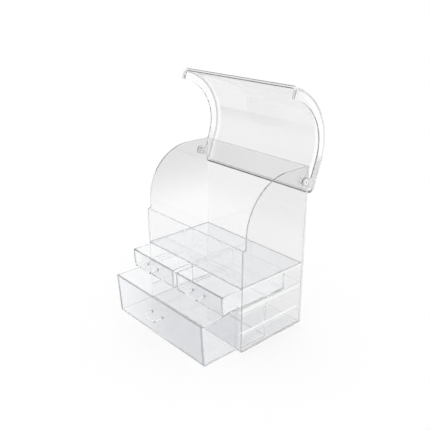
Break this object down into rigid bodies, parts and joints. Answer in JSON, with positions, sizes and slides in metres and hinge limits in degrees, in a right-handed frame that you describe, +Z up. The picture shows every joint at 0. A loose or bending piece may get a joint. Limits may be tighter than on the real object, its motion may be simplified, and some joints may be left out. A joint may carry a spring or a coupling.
{
  "type": "desk organizer",
  "caption": "Clear acrylic desk organizer with a large drawer under two small ones, an open tray on top and a curved hinged lid.",
  "frame": {"origin": "under the middle of the cabinet, on the surface that it stands on", "axes": "+Z up, -Y out of the drawers' front, +X to the right of someone facing the front"},
  "size_m": [0.2554, 0.2606, 0.4049],
  "materials": {
    "cabinet_acrylic": "clear, polished",
    "rail_acrylic": "clear, polished",
    "drawer_acrylic": "clear, moulded",
    "handle_acrylic": "clear, polished",
    "lid_acrylic": "clear, moulded",
    "hinge_acrylic": "clear, polished"
  },
  "bodies": {
    "cabinet": {"side_panel_left": "cabinet_acrylic", "side_panel_right": "cabinet_acrylic", "back_panel": "cabinet_acrylic", "base_panel": "cabinet_acrylic", "middle_shelf": "cabinet_acrylic", "top_shelf": "cabinet_acrylic", "front_wall": "cabinet_acrylic", "drawer_divider": "cabinet_acrylic", "guide_rail_left_lower": "rail_acrylic", "guide_rail_left_upper": "rail_acrylic", "guide_rail_right_lower": "rail_acrylic", "guide_rail_right_upper": "rail_acrylic", "hinge_pin_left": "hinge_acrylic", "hinge_pin_right": "hinge_acrylic", "hinge_washer_left": "hinge_acrylic", "hinge_washer_right": "hinge_acrylic", "hinge_retainer_left": "hinge_acrylic", "hinge_retainer_right": "hinge_acrylic"},
    "lid": {"lid_shell": "lid_acrylic"},
    "large_drawer": {"large_drawer_box": "drawer_acrylic", "large_drawer_handle": "handle_acrylic"},
    "small_drawer_left": {"small_drawer_box_left": "drawer_acrylic", "small_drawer_handle_left": "handle_acrylic"},
    "small_drawer_right": {"small_drawer_box_right": "drawer_acrylic", "small_drawer_handle_right": "handle_acrylic"}
  },
  "joints": [
    {"name": "lid_hinge", "type": "hinge", "parent": "cabinet", "child": "lid", "pos_m": [0, 0.056, 0.256], "axis": [1, 0, 0], "range_deg": [0, 109]},
    {"name": "large_drawer_slide", "type": "slide", "parent": "cabinet", "child": "large_drawer", "axis": [0, -1, 0], "range_m": [-0.075, 0.03]},
    {"name": "small_drawer_left_slide", "type": "slide", "parent": "cabinet", "child": "small_drawer_left", "axis": [0, -1, 0], "range_m": [-0.0368, 0.06]},
    {"name": "small_drawer_right_slide", "type": "slide", "parent": "cabinet", "child": "small_drawer_right", "axis": [0, -1, 0], "range_m": [-0.0376, 0.06]}
  ]
}
